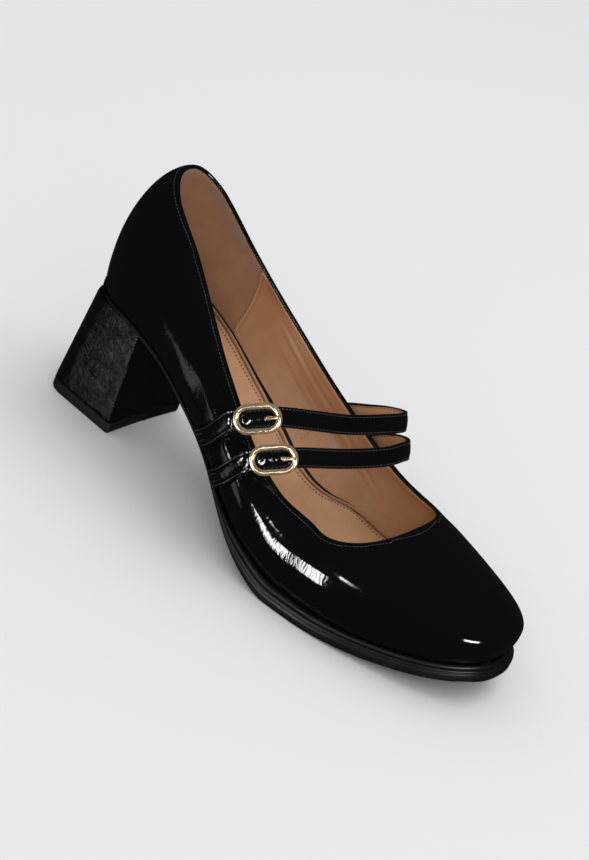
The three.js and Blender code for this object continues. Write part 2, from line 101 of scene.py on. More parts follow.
soleTable = columns("x ledge thick", [
    (0, 0.4, 2.2),
    (60, 0.4, 2.2),
    (95, 0.6, 2.2),
    (125, 3.6, 3.6),
    (145, 5.2, 5.5),
    (156, 5.4, 6),
    (200, 4.8, 6),
    (242, 4.6, 6),
])


def smoothCurve(xs, ys):
    # natural cubic spline, straight past its ends
    n = len(xs)
    step = np.diff(xs)
    slope = np.diff(ys) / step
    system = np.eye(n)
    right = np.zeros(n)
    for i in range(1, n - 1):
        system[i, i - 1:i + 2] = step[i - 1], 2 * (step[i - 1] + step[i]), step[i]
        right[i] = 6 * (slope[i] - slope[i - 1])
    bend = np.linalg.solve(system, right)
    first = slope[0] - step[0] * bend[1] / 6
    last = slope[-1] + step[-1] * bend[-2] / 6

    def at(x):
        x = np.asarray(x, float)
        i = np.clip(np.searchsorted(xs, x, side="right") - 1, 0, n - 2)
        span = step[i]
        a = (xs[i + 1] - x) / span
        b = 1 - a
        curve = ((a ** 3 - a) * bend[i] + (b ** 3 - b) * bend[i + 1]) * span ** 2 / 6
        inside = a * ys[i] + b * ys[i + 1] + curve
        low = ys[0] + first * (x - xs[0])
        high = ys[-1] + last * (x - xs[-1])
        return np.where(x <= xs[0], low, np.where(x >= xs[-1], high, inside))

    return at


def steadyCurve(xs, ys):
    # monotone curve, level past its ends
    n = len(xs)
    step = np.diff(xs)
    slope = np.diff(ys) / step
    tangent = np.zeros(n)
    for i in range(1, n - 1):
        product = slope[i - 1] * slope[i]
        tangent[i] = 0 if product <= 0 else 2 * product / (slope[i - 1] + slope[i])

    def at(x):
        x = np.clip(np.asarray(x, float), xs[0], xs[-1])
        i = np.clip(np.searchsorted(xs, x, side="right") - 1, 0, n - 2)
        t = (x - xs[i]) / step[i]
        rise = t * t * (3 - 2 * t)
        lead = t * (1 - t) ** 2 * step[i] * tangent[i]
        trail = t * t * (t - 1) * step[i] * tangent[i + 1]
        return ys[i] * (1 - rise) + ys[i + 1] * rise + lead + trail

    return at


def curvesOf(table):
    return {name: smoothCurve(table["x"], values) for name, values in table.items() if name != "x"}


feather = curvesOf(featherTable)
section = curvesOf(sectionTable)
liftShare = steadyCurve(liftTable["x"], liftTable["share"])
toplineRear = smoothCurve(toplineTable["x"], toplineTable["z"])
soleLedge = steadyCurve(soleTable["x"], soleTable["ledge"])
soleDepth = steadyCurve(soleTable["x"], soleTable["thick"])


def onLast(x):
    return np.clip(x, 0, form["length"])


def ramp(x, start, end):
    t = np.clip((x - start) / (end - start), 0, 1)
    return t * t * (3 - 2 * t)


def featherZ(x):
    spring = np.clip((x - form["springStart"]) / (form["length"] - form["springStart"]), 0, 1.2)
    lift = liftShare(x) * (form["seatHeight"] - form["soleThick"])
    return form["soleThick"] + lift + form["toeSpring"] * spring ** 2


def toplineZ(x):
    throat = np.maximum(x - form["throatStart"], 0)
    return toplineRear(np.minimum(x, toplineTable["x"][-1])) + form["throatCurve"] * throat ** 2


def halfWidth(x, side):
    return np.where(side < 0, feather["lateral"](onLast(x)), feather["medial"](onLast(x)))


def sided(name, x, u, side):
    lateral = section[name + "Lateral"](onLast(x))
    medial = section[name + "Medial"](onLast(x))
    away = np.clip(np.minimum(u, 1 - u) / form["sideBlend"], 0, 1)
    share = side * away * away * (3 - 2 * away)
    return (lateral + medial + share * (medial - lateral)) / 2


def outline(u, side, offset):
    # plan outline: u 0 at the back of the heel, 1 at the toe tip; side -1 outer, +1 inner
    u = np.asarray(u, float)
    heelEnd, toeStart = form["heelCapEnd"], form["toeCapStart"]
    toeX = form["length"] - form["toeCap"]
    heelAngle = np.clip(u / heelEnd, 0, 1) * np.pi / 2
    toeAngle = np.clip((1 - u) / (1 - toeStart), 0, 1) * np.pi / 2
    heelPower, toePower = 2 / form["heelSquareness"], 2 / form["toeSquareness"]
    heelPart = u < heelEnd
    toePart = u > toeStart
    share = np.clip((u - heelEnd) / (toeStart - heelEnd), 0, 1)
    middle = form["heelCap"] + share * (toeX - form["heelCap"])
    heelReach = np.maximum(np.cos(heelAngle), 0) ** heelPower
    toeReach = np.maximum(np.cos(toeAngle), 0) ** toePower
    x = np.where(heelPart, form["heelCap"] - (form["heelCap"] + offset) * heelReach,
                 np.where(toePart, toeX + (form["toeCap"] + offset) * toeReach, middle))
    cap = np.where(heelPart, np.sin(heelAngle) ** heelPower,
                   np.where(toePart, np.sin(toeAngle) ** toePower, 1.0))
    centreX = np.where(heelPart, form["heelCap"], np.where(toePart, toeX, x))
    y = feather["centre"](onLast(x)) + side * (halfWidth(x, side) + offset) * cap
    return x, y, cap, centreX


def lastPoint(u, side, phi):
    # phi -1 at the feather line, 0 at the widest line, pi/2 at the ridge over the foot
    tuck = np.where(phi < 0, np.abs(phi) ** 2.4, 0)
    bulge = sided("bulge", outline(u, side, 0)[0], u, side) * (1 - tuck)
    edgeX, _, cap, centreX = outline(u, side, bulge)
    up = np.clip(phi, 0, np.pi / 2)
    power = 2 / section["round"](onLast(edgeX))
    reach = np.cos(up) ** power
    x = centreX + (edgeX - centreX) * reach
    y = feather["centre"](onLast(x)) + side * (halfWidth(x, side) + bulge) * cap * reach
    wide = section["wide"](onLast(x))
    crown = sided("crown", x, u, side) - wide
    height = np.where(phi < 0, wide * (1 + phi), wide + crown * np.sin(up) ** power)
    return np.stack([x, y, featherZ(x) + height], -1)


def unit(vectors):
    return vectors / np.maximum(np.linalg.norm(vectors, axis=-1, keepdims=True), 1e-9)


def sideNormal(u, side, phi):
    step = 1e-3
    along = lastPoint(u + step, side, phi) - lastPoint(u - step, side, phi)
    over = lastPoint(u, side, phi + step / 2) - lastPoint(u, side, phi - step / 2)
    return unit(np.cross(along, over)) * -np.asarray(side)[..., None]


def lastNormal(u, side, phi):
    u, side, phi = np.broadcast_arrays(*(np.asarray(values, float) for values in (u, side, phi)))
    at = np.clip(u, 0.002, 0.998)
    normal = sideNormal(at, side, phi)
    shared = normal + sideNormal(at, -side, phi)
    shared[..., 1] = 0
    return unit(np.where((u == at)[..., None], normal, shared))


def phiAtHeight(u, side, heightAt, lowest):
    # where the surface reaches a height, which is given as a function of x
    low = np.full(np.broadcast(u, side).shape, float(lowest))
    high = np.full_like(low, np.pi / 2)
    for _ in range(40):
        middle = (low + high) / 2
        point = lastPoint(u, side, middle)
        above = point[..., 2] > heightAt(point[..., 0])
        high = np.where(above, middle, high)
        low = np.where(above, low, middle)
    return (low + high) / 2


def toplinePhi(u, side):
    return phiAtHeight(u, side, toplineZ, 0)


def aroundLast(heel, middle, toe):
    # columns once around: toe, outer side, heel, inner side, back to the toe
    half = np.concatenate([
        np.linspace(0, form["heelCapEnd"], heel, endpoint=False),
        np.linspace(form["heelCapEnd"], form["toeCapStart"], middle, endpoint=False),
        np.linspace(form["toeCapStart"], 1, toe + 1),
    ])
    u = np.concatenate([half[::-1], half[1:-1]])
    side = np.concatenate([-np.ones(len(half)), np.ones(len(half) - 2)])
    return u, side


# mesh helpers

def gridFaces(rows, cols, closeCols=False, closeRows=False, flip=False):
    faces = []
    for j in range(rows if closeRows else rows - 1):
        for i in range(cols if closeCols else cols - 1):
            a = j * cols + i
            b = j * cols + (i + 1) % cols
            c = ((j + 1) % rows) * cols + (i + 1) % cols
            d = ((j + 1) % rows) * cols + i
            faces.append((d, c, b, a) if flip else (a, b, c, d))
    return faces


def endFaces(count, first, last, flip=False):
    # the closed ends of a tube, from the first place of its first and of its last row
    ends = [tuple(range(first, first + count))[::-1], tuple(range(last, last + count))]
    return [face[::-1] for face in ends] if flip else ends


def meshPiece(name, points, faces, materials, replaced=(), faceMaterial=None):
    # points in millimetres in the form's own axes
    metres = np.array(points, float).reshape(-1, 3) * mm
    metres[:, 0] -= form["originX"] * mm
    mesh = bpy.data.meshes.new(name)
    mesh.from_pydata(metres.tolist(), [], faces)
    for material in materials:
        mesh.materials.append(material)
    if faceMaterial is not None:
        mesh.polygons.foreach_set("material_index", np.asarray(faceMaterial, np.int32))
    mesh.polygons.foreach_set("use_smooth", np.full(len(mesh.polygons), True))
    mesh.update()
    piece = bpy.data.objects.new(name, mesh)
    bpy.context.scene.collection.objects.link(piece)
    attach(piece, "root")
    if replaced:
        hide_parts(*replaced)
    return piece


def stitchPiece(name, runs, stitch, material):
    # one joined mesh of small capsules; a run is points, directions and outward normals
    points, faces = [], []
    sides = 6
    shares = np.array([-1, -0.8, -0.4, 0.4, 0.8, 1])
    swell = np.array([0.05, 0.7, 1, 1, 0.7, 0.05])
    angles = np.arange(sides) / sides * 2 * np.pi
    capsule = gridFaces(len(shares), sides, closeCols=True) + endFaces(sides, 0, (len(shares) - 1) * sides)
    for centres, along, normals in runs:
        across = unit(np.cross(along, normals))
        up = unit(np.cross(across, along))
        for c, a, w, n in zip(centres, along, across, up):
            base = len(points)
            spokes = np.cos(angles)[:, None] * w + np.sin(angles)[:, None] * n
            for share, radius in zip(shares, swell):
                points.extend(c + a * share * stitch["length"] / 2 + spokes * radius * stitch["radius"])
            faces.extend(tuple(base + k for k in face) for face in capsule)
    return meshPiece(name, points, faces, [material])


def alongPath(points, normals, pitch, closed=False):
    # even places along a polyline, with directions and normals
    if closed:
        points = np.vstack([points, points[:1]])
        normals = np.vstack([normals, normals[:1]])
    lengths = np.linalg.norm(np.diff(points, axis=0), axis=1)
    total = np.concatenate([[0], np.cumsum(lengths)])
    count = max(int(total[-1] / pitch), 2)
    places = (np.arange(count) + 0.5) * total[-1] / count

    def pick(values, at):
        return np.stack([np.interp(at, total, values[:, k]) for k in range(3)], -1)

    centres = pick(points, places)
    ahead = pick(points, np.minimum(places + 0.3, total[-1]))
    behind = pick(points, np.maximum(places - 0.3, 0))
    return centres, unit(ahead - behind), unit(pick(normals, places))


# materials

def newMaterial(name, **sockets):
    material = bpy.data.materials.new(name)
    material.use_nodes = True
    shader = material.node_tree.nodes["Principled BSDF"]
    for socket, value in sockets.items():
        shader.inputs[socketName[socket]].default_value = value
    return material, material.node_tree, shader


socketName = {
    "colour": "Base Color",
    "roughness": "Roughness",
    "metallic": "Metallic",
    "ior": "IOR",
    "sheen": "Sheen Weight",
    "sheenRoughness": "Sheen Roughness",
    "specular": "Specular IOR Level",
}


def addNode(tree, kind, inputs=(), **settings):
    made = tree.nodes.new(kind)
    for key, value in settings.items():
        setattr(made, key, value)
    for key, value in dict(inputs).items():
        if isinstance(value, bpy.types.NodeSocket):
            tree.links.new(value, made.inputs[key])
        else:
            made.inputs[key].default_value = value
    return made


def colourRamp(tree, factor, low, high, lowAt, highAt):
    made = addNode(tree, "ShaderNodeValToRGB", {"Fac": factor})
    made.color_ramp.elements[0].position = lowAt
    made.color_ramp.elements[0].color = (*low, 1)
    made.color_ramp.elements[1].position = highAt
    made.color_ramp.elements[1].color = (*high, 1)
    return made.outputs["Color"]


def noise(tree, place, scale, detail, roughness=0.5):
    made = addNode(tree, "ShaderNodeTexNoise", {
        "Vector": place, "Scale": scale, "Detail": detail, "Roughness": roughness,
    })
    return made.outputs["Fac"]


def combine(tree, operation, *values):
    return addNode(tree, "ShaderNodeMath", enumerate(values), operation=operation).outputs[0]


def combineVectors(tree, operation, *values):
    return addNode(tree, "ShaderNodeVectorMath", enumerate(values), operation=operation).outputs[0]


def remap(tree, value, low, high, fromLow=0.0, fromHigh=1.0):
    made = addNode(tree, "ShaderNodeMapRange", {
        "Value": value, "From Min": fromLow, "From Max": fromHigh, "To Min": low, "To Max": high,
    })
    return made.outputs[0]


def newGroup(name, inputs, outputs):
    group = bpy.data.node_groups.new(name, "ShaderNodeTree")
    for label, kind, value in inputs:
        socket = group.interface.new_socket(label, in_out="INPUT", socket_type=kind)
        if value is not None:
            socket.default_value = value
    for label, kind in outputs:
        group.interface.new_socket(label, in_out="OUTPUT", socket_type=kind)
    return group, group.nodes.new("NodeGroupInput"), group.nodes.new("NodeGroupOutput")


def patentFilmGroup():
    # the lacquer film: a faint orange peel, and fine wrinkles that run along the stretched axes
    group, given, out = newGroup("patentFilm", [
        ("Place", "NodeSocketVector", None),
        ("Stretch", "NodeSocketVector", (600, 120, 120)),
        ("Wrinkle", "NodeSocketFloat", 1.0),
        ("Peel", "NodeSocketFloat", 0.3),
    ], [("Height", "NodeSocketFloat"), ("Dust", "NodeSocketFloat")])
    place = given.outputs["Place"]
    sway = addNode(group, "ShaderNodeTexNoise", {"Vector": place, "Scale": 90.0, "Detail": 2.0})
    bent = combineVectors(group, "MULTIPLY", sway.outputs["Color"], (0.012, 0.012, 0.012))
    moved = combineVectors(group, "ADD", place, bent)
    scaled = combineVectors(group, "MULTIPLY", moved, given.outputs["Stretch"])
    wrinkle = noise(group, scaled, 1.0, 3.0, 0.45)
    peel = noise(group, place, 420.0, 1.5)
    wide = noise(group, place, 45.0, 1.0)
    strong = combine(group, "MULTIPLY", wrinkle, given.outputs["Wrinkle"])
    faint = combine(group, "MULTIPLY", peel, given.outputs["Peel"])
    both = combine(group, "ADD", strong, faint)
    height = combine(group, "MULTIPLY_ADD", wide, 0.6, both)
    dust = noise(group, place, 900.0, 4.0)
    group.links.new(height, out.inputs["Height"])
    group.links.new(dust, out.inputs["Dust"])
    return group


def leatherGrainGroup():
    # pores and soft tone of smooth lining leather
    group, given, out = newGroup("leatherGrain", [
        ("Place", "NodeSocketVector", None),
        ("Pore Scale", "NodeSocketFloat", 1400.0),
        ("Tone Scale", "NodeSocketFloat", 60.0),
    ], [("Height", "NodeSocketFloat"), ("Tone", "NodeSocketFloat")])
    place = given.outputs["Place"]
    pores = addNode(group, "ShaderNodeTexVoronoi", {
        "Vector": place, "Scale": given.outputs["Pore Scale"],
    }, feature="DISTANCE_TO_EDGE")
    cut = remap(group, pores.outputs["Distance"], 0.0, 1.0, 0.0, 0.25)
    grain = noise(group, place, 500.0, 5.0, 0.6)
    tone = noise(group, place, given.outputs["Tone Scale"], 5.0, 0.55)
    height = combine(group, "MULTIPLY_ADD", cut, 0.5, grain)
    group.links.new(height, out.inputs["Height"])
    group.links.new(tone, out.inputs["Tone"])
    return group


patentFilm = patentFilmGroup()
leatherGrain = leatherGrainGroup()


def objectPlace(tree):
    return addNode(tree, "ShaderNodeTexCoord").outputs["Object"]


def addBump(tree, shader, height, strength, distance):
    bump = addNode(tree, "ShaderNodeBump", {"Height": height, "Strength": strength, "Distance": distance})
    tree.links.new(bump.outputs[0], shader.inputs["Normal"])


def addMottle(tree, shader, mask, colours, levels, rough):
    # one mask drives the colour, between two mask levels, and the roughness over the whole mask
    tree.links.new(colourRamp(tree, mask, *colours, *levels), shader.inputs["Base Color"])
    tree.links.new(remap(tree, mask, *rough), shader.inputs["Roughness"])


patentLook = {
    "colour": (0.0035, 0.0035, 0.004, 1),
    "roughness": 0.055,
    "dustRoughness": 0.13,
    "bump": 0.5,
}


def patentMaterial(name, stretch, wrinkle, peel, depth):
    material, tree, shader = newMaterial(name, colour=patentLook["colour"], ior=1.52)
    film = addNode(tree, "ShaderNodeGroup", {
        "Place": objectPlace(tree), "Stretch": stretch, "Wrinkle": wrinkle, "Peel": peel,
    }, node_tree=patentFilm)
    clean, dusty = patentLook["roughness"], patentLook["dustRoughness"]
    rough = remap(tree, film.outputs["Dust"], clean, dusty, 0.45, 0.75)
    tree.links.new(rough, shader.inputs["Roughness"])
    addBump(tree, shader, film.outputs["Height"], patentLook["bump"], depth)
    return material


patentUpper = patentMaterial("patentUpper", (900, 150, 200), 0.55, 0.06, 0.0002)
patentHeel = patentMaterial("patentHeel", (300, 300, 1500), 1.5, 0.1, 0.0002)
patentStrap = patentMaterial("patentStrap", (420, 300, 420), 1.3, 0.3, 0.00022)


def liningMaterial(name, dark, light, rough, pores, depth, sheen=0.0):
    material, tree, shader = newMaterial(name, roughness=rough, sheen=sheen, sheenRoughness=0.5, ior=1.45)
    grain = addNode(tree, "ShaderNodeGroup", {
        "Place": objectPlace(tree), "Pore Scale": pores, "Tone Scale": 55.0,
    }, node_tree=leatherGrain)
    addMottle(tree, shader, grain.outputs["Tone"], (dark, light), (0.3, 0.7), (rough - 0.06, rough + 0.08))
    addBump(tree, shader, grain.outputs["Height"], 0.35, depth)
    return material


liningLeather = liningMaterial(
    "liningLeather", (0.50, 0.262, 0.135), (0.60, 0.335, 0.185), 0.45, 1300.0, 0.00012)
sockLeather = liningMaterial(
    "sockLeather", (0.53, 0.292, 0.155), (0.62, 0.36, 0.205), 0.42, 1500.0, 0.0001)
# the heel lining's brown is darker than the lining's: partly the suede's own colour, partly painted shade
# of the heel's hollow
heelSuedeAndShade = liningMaterial(
    "heelSuedeAndShade", (0.43, 0.225, 0.112), (0.54, 0.31, 0.165), 0.85, 2600.0, 0.00025, 0.35)


def rubberMaterial(name, dark, light, rough, scale, depth):
    material, tree, shader = newMaterial(name, roughness=rough)
    place = objectPlace(tree)
    cloud = noise(tree, place, scale, 4.0)
    addMottle(tree, shader, cloud, (dark, light), (0.35, 0.7), (rough - 0.08, rough + 0.1))
    addBump(tree, shader, noise(tree, place, 1800.0, 3.0), 0.3, depth)
    return material


soleRubber = rubberMaterial(
    "soleRubber", (0.005, 0.005, 0.0055), (0.008, 0.008, 0.0085), 0.42, 70.0, 0.00008)
heelRubber = rubberMaterial(
    "heelRubber", (0.006, 0.006, 0.006), (0.01, 0.01, 0.01), 0.58, 90.0, 0.0001)


# the black insole board under the sock: partly the board's own black, partly painted shade of the slit
# between sock and wall
def boardBlackAndSlitShadeMaterial():
    material, tree, shader = newMaterial("boardBlackAndSlitShade", colour=(0.006, 0.006, 0.0065, 1), roughness=0.3)
    addBump(tree, shader, noise(tree, objectPlace(tree), 1200.0, 3.0), 0.3, 0.0001)
    return material


def threadMaterial(name, colour, rough):
    material, tree, shader = newMaterial(name, colour=(*colour, 1), roughness=rough)
    twist = addNode(tree, "ShaderNodeTexWave", {
        "Vector": objectPlace(tree), "Scale": 900.0, "Distortion": 2.0,
    }, bands_direction="DIAGONAL")
    addBump(tree, shader, twist.outputs["Fac"], 0.5, 0.00008)
    return material


def goldMaterial():
    material, tree, shader = newMaterial("paleGold", metallic=0.75, roughness=0.2)
    place = objectPlace(tree)
    tarnish = noise(tree, place, 260.0, 5.0)
    colours = ((0.66, 0.44, 0.27), (0.88, 0.67, 0.47))
    addMottle(tree, shader, tarnish, colours, (0.25, 0.6), (0.14, 0.3))
    addBump(tree, shader, noise(tree, place, 2400.0, 2.0), 0.15, 0.00004)
    return material


boardBlackAndSlitShade = boardBlackAndSlitShadeMaterial()
# dark thread lightened to grey: partly the thread's own colour, partly painted highlight for the stitches'
# glints
darkThreadAndPaintedGlint = threadMaterial("darkThreadAndPaintedGlint", (0.07, 0.07, 0.075), 0.25)
tanThread = threadMaterial("tanThread", (0.26, 0.12, 0.055), 0.6)
prickShade = threadMaterial("prickShade", (0.11, 0.045, 0.02), 0.8)
paleGold = goldMaterial()
print("materials ready")


# upper

upperLook = {
    "lowRows": 12,
    "highRows": 52,
    "foldRows": 9,
    "foldInside": 0.8,        # how far the folded edge turns down inside
    "foldPad": 0.08,          # the fold's extra thickness
    "foldDeep": 4.5,          # and how far down it reaches
    "stitchBelow": 1.9,
    "stitchDent": 0.16,
    "stitch": {"length": 1.15, "radius": 0.15},
    "pitch": 1.65,
    "lastingDepth": 0.22,     # puckers where the upper was pulled over the last
    "lastingReach": 7.0,
}

# soft troughs in the upper, at a place, running one way, with a half length, a width and a depth
creaseTable = columns("x y z runX runY runZ long wide deep", [
    (58, -31, 78, 0.75, 0, -0.66, 16, 7, 0.25),
    (78, -34, 62, 0.6, 0, -0.8, 14, 6, 0.3),
    (96, -37, 40, 0.2, 0, 1, 13, 5, 0.35),
    (176, 38, 34, 0.3, -0.7, 0.3, 16, 6, 0.25),
    (120, 42, 38, 0.7, 0, 0.5, 18, 7, 0.3),
    (85, 33, 58, 0.6, 0, -0.8, 16, 6, 0.3),
    (20, -30, 74, 1, 0, 0, 14, 6, 0.2),
    (196, -10, 44, 0, 1, 0, 18, 8, 0.2),
])


def creaseDepth(points):
    depth = np.zeros(points.shape[:-1])
    for x, y, z, runX, runY, runZ, long, wide, deep in zip(*creaseTable.values()):
        run = unit(np.array([runX, runY, runZ]))
        offset = points - np.array([x, y, z])
        along = offset @ run
        across = np.linalg.norm(offset - along[..., None] * run, axis=-1)
        trough = np.exp(-(across / wide) ** 2) - 0.45 * np.exp(-((across - 1.7 * wide) / wide) ** 2)
        depth += deep * trough * np.exp(-(along / long) ** 2)
    return depth


def lastingPucker(points, high, reach):
    # short waves along the feather line, dying out up the wall
    x, y = points[..., 0], points[..., 1]
    wave = np.sin(x * 0.62 + 1.3 * np.sin(x * 0.11)) + 0.6 * np.sin(x * 0.97 + y * 0.2 + 2.0)
    toe = ramp(x, 195, 225)
    across = np.sin(y * 0.7 + 1.0) + 0.5 * np.sin(y * 1.13 + 0.4)
    return (wave * (1 - toe) + across * toe) * np.exp(-(high / reach) ** 2) * 0.5


def columnLengths(points):
    # distances along each column, from the last row and from the first
    steps = np.linalg.norm(np.diff(points, axis=0), axis=-1)
    total = np.vstack([np.zeros((1, points.shape[1])), np.cumsum(steps, axis=0)])
    return total[-1] - total, total


roundU, roundSide = aroundLast(44, 96, 104)
roundTop = toplinePhi(roundU, roundSide)


def outerSkin():
    look = upperLook
    low = np.linspace(-1, 0, look["lowRows"], endpoint=False)
    share = np.linspace(0, 1, look["highRows"])
    phi = np.vstack([np.repeat(low[:, None], len(roundU), 1), share[:, None] * roundTop])
    u = np.broadcast_to(roundU, phi.shape)
    side = np.broadcast_to(roundSide, phi.shape)
    points = lastPoint(u, side, phi)
    normals = lastNormal(u, side, phi)
    below, above = columnLengths(points)
    pad = look["foldPad"] * (1 - ramp(below, look["foldDeep"] - 0.8, look["foldDeep"] + 0.8))
    dent = look["stitchDent"] * np.exp(-((below - look["stitchBelow"]) / 0.35) ** 2)
    pucker = look["lastingDepth"] * lastingPucker(points, above, look["lastingReach"])
    fade = ramp(below, 0, 9)
    rise = pad * ramp(below, 0, 1.5) - dent + pucker - creaseDepth(points) * fade
    return points + normals * rise[..., None], normals, below


def buildUpper():
    look = upperLook
    outer, normals, below = outerSkin()
    edge, edgeNormal = outer[-1], normals[-1]
    climb = unit(outer[-1] - outer[-2])
    radius = form["wall"] / 2
    centre = edge - edgeNormal * radius
    fold = []
    for angle in np.linspace(0, np.pi, look["foldRows"] + 1)[1:]:
        fold.append(centre + edgeNormal * radius * math.cos(angle) + climb * radius * math.sin(angle) * 0.9)
    for drop in (0.6, look["foldInside"]):
        fold.append(centre - edgeNormal * radius - climb * drop)
    fold.append(centre - edgeNormal * (radius - 0.5) - climb * look["foldInside"])
    foot = outer[0] - normals[0] * form["wall"]
    rows = np.concatenate([[foot], outer, np.array(fold)])
    cols = rows.shape[1]
    faces = gridFaces(rows.shape[0], cols, closeCols=True)
    meshPiece("upper_patent", rows, faces, [patentUpper], ["upper"])

    # the stitch row under the folded edge
    level = np.abs(below - look["stitchBelow"]).argmin(axis=0)
    pick = (level, np.arange(cols))
    row = outer[pick] + normals[pick] * 0.03
    run = alongPath(row, normals[pick], look["pitch"], closed=True)
    stitchPiece("upper_stitching", [run], look["stitch"], darkThreadAndPaintedGlint)
    print("upper", len(faces), "faces")


buildUpper()


# lining

archTable = columns("x inset", [
    (60, 0), (80, 0.6), (98, 3.6), (112, 7.6), (121, 9), (129, 7), (136, 2.2), (142, 0),
])
archIn = steadyCurve(archTable["x"], archTable["inset"])
liningLook = {
    "rows": 60,
    "below": 1.0,             # its cut edge under the topline
    "proud": 0.22,            # stands off the folded edge
    "seamTop": {"lateral": 60.0, "medial": 57.5},
    "seamFoot": {"lateral": 56.0, "medial": 53.5},
    "lap": 0.55,              # thickness where it laps over the heel lining
    "beadWide": 1.5,
    "beadHigh": 0.55,
    "stitchIn": 2.3,
    "stitchColumns": 40,      # columns searched beside the outer seam; the inner row stands this far in
    "stitch": {"length": 1.1, "radius": 0.16},
    "pitch": 1.7,
    "creaseDepth": 0.4,
}


def insideWrinkles(points):
    # slanting creases where the lining gives at the waist and ball
    x, z = points[..., 0], points[..., 2]
    slant = x * 0.62 + z * 0.85
    wave = np.sin(slant * 1.15 + 0.6 * np.sin(x * 0.21)) + 0.5 * np.sin(slant * 1.9 + 1.1)
    zone = ramp(x, 66, 84) * (1 - ramp(x, 128, 150))
    soft = 0.5 + 0.5 * np.sin(x * 0.11 + z * 0.16)
    vamp = ramp(x, 138, 160) * (1 - ramp(x, 176, 196))
    fold = np.sin((x * 0.9 - z * 0.55) * 0.42 + 0.7) ** 3
    return wave * zone * soft + 0.7 * fold * vamp


def uAtX(x):
    # perimeter parameter of a station between the two caps
    share = (x - form["heelCap"]) / (form["length"] - form["toeCap"] - form["heelCap"])
    return form["heelCapEnd"] + share * (form["toeCapStart"] - form["heelCapEnd"])


def seamU(side, share):
    name = "lateral" if side < 0 else "medial"
    foot, top = liningLook["seamFoot"][name], liningLook["seamTop"][name]
    return uAtX(foot + (top - foot) * share ** 1.3)


def archInset(x, side):
    # how far the lining comes in over the footbed along the arch
    return archIn(x) * (side > 0)


def innerSurface(u, side, share, offset):
    # share 0 at the feather line, 1 just under the topline
    top = toplinePhi(u, side)
    phi = -1 + (top + 1) * share
    points = lastPoint(u, side, phi)
    normals = lastNormal(u, side, phi)
    drop = unit(lastPoint(u, side, phi - 0.004) - points)
    lower = np.where(share > 0.9, (share - 0.9) / 0.1, 0) * liningLook["below"]
    return points - normals * offset[..., None] + drop * lower[..., None], normals


def beadPiece(name, path, out, wide, high, material):
    # a low rounded strip along a path
    ahead = unit(np.gradient(path, axis=0))
    across = unit(np.cross(ahead, out))
    angle = np.linspace(0, np.pi, 9)
    arc = np.cos(angle)[None, :, None] * across[:, None] * wide / 2
    arc = arc + np.sin(angle)[None, :, None] * out[:, None] * high
    points = path[:, None] + arc
    meshPiece(name, points, gridFaces(*points.shape[:2]), [material])


def withTuckedRow(points, u, side, rows):
    # one more row, sunk into the wall just under the topline
    sunk = np.full((1, u.shape[1]), form["wall"] - 0.4)
    return np.concatenate([points, innerSurface(u[-1:], side[-1:], rows[-1:], sunk)[0]])


def buildLining():
    look = liningLook
    share = np.linspace(0, 1, look["rows"])[:, None] ** 0.9
    half = np.concatenate([
        np.linspace(0, 0.02, 6, endpoint=False),
        np.linspace(0.02, 0.55, 89, endpoint=False),
        np.linspace(0.55, 1, 90),
    ])
    lateral = seamU(-1, share) + (1 - seamU(-1, share)) * half
    medial = seamU(1, share) + (1 - seamU(1, share)) * half[::-1][1:]
    u = np.hstack([lateral, medial])
    side = np.hstack([-np.ones_like(lateral), np.ones_like(medial)])
    rows = np.broadcast_to(share, u.shape)
    flat, _ = innerSurface(u, side, rows, np.full(u.shape, form["wall"]))
    fromSeam = np.minimum(
        np.linalg.norm(flat - flat[:, :1], axis=-1),
        np.linalg.norm(flat - flat[:, -1:], axis=-1))
    lap = look["lap"] * (1 - ramp(fromSeam, 2.4, 4.5)) * ramp(fromSeam, 0, 0.5)
    dent = 0.22 * np.exp(-((fromSeam - look["stitchIn"]) / 0.4) ** 2)
    creased = ramp(rows, 0.05, 0.3) * (1 - ramp(rows, 0.75, 0.98))
    crease = look["creaseDepth"] * insideWrinkles(flat) * creased
    edge = 0.18 * ramp(rows, 0.9, 0.97) * (1 - ramp(rows, 0.985, 1.0))
    arch = archInset(flat[..., 0], side) * (1 - ramp(rows, 0.02, 0.62))
    offset = form["wall"] + look["proud"] + lap - dent + crease + edge
    points, normals = innerSurface(u, side, rows, offset)
    points[..., 1] -= arch
    points = withTuckedRow(points, u, side, rows)
    meshPiece("lining", points, gridFaces(*points.shape[:2], flip=True), [liningLeather])

    # two stitch rows: the outer one beside its seam, the inner one well ahead of its seam
    runs = []
    columnsIn = look["stitchColumns"]
    outerRow = np.abs(fromSeam[:, :columnsIn] - look["stitchIn"]).argmin(axis=1)
    innerRow = np.full(look["rows"], u.shape[1] - columnsIn)
    for index in (outerRow, innerRow):
        pick = (np.arange(6, look["rows"] - 2), index[6:look["rows"] - 2])
        runs.append(alongPath(points[pick] - normals[pick] * 0.02, -normals[pick], look["pitch"]))
    stitchPiece("lining_stitching", runs, look["stitch"], tanThread)
    for name, column in (("outer", 0), ("inner", -1)):
        inward = -normals[2:, column]
        path = points[2:-1, column] + inward * look["lap"] * 0.6
        beadPiece("seam_bead_" + name, path, inward, look["beadWide"], look["beadHigh"], sockLeather)

    # the heel lining, from seam to seam round the back
    span = np.linspace(-1, 1, 130)
    width = np.where(span < 0, seamU(-1, share), seamU(1, share)) * 1.012
    u = np.abs(span) * width
    side = np.where(span < 0, -1.0, 1.0) * np.ones_like(u)
    rows = np.broadcast_to(share, u.shape)
    points, _ = innerSurface(u, side, rows, np.full(u.shape, form["wall"] + 0.12))
    points = withTuckedRow(points, u, side, rows)
    meshPiece("heel_lining", points, gridFaces(*points.shape[:2]), [heelSuedeAndShade])
    print("lining ready")


buildLining()


# insole sock

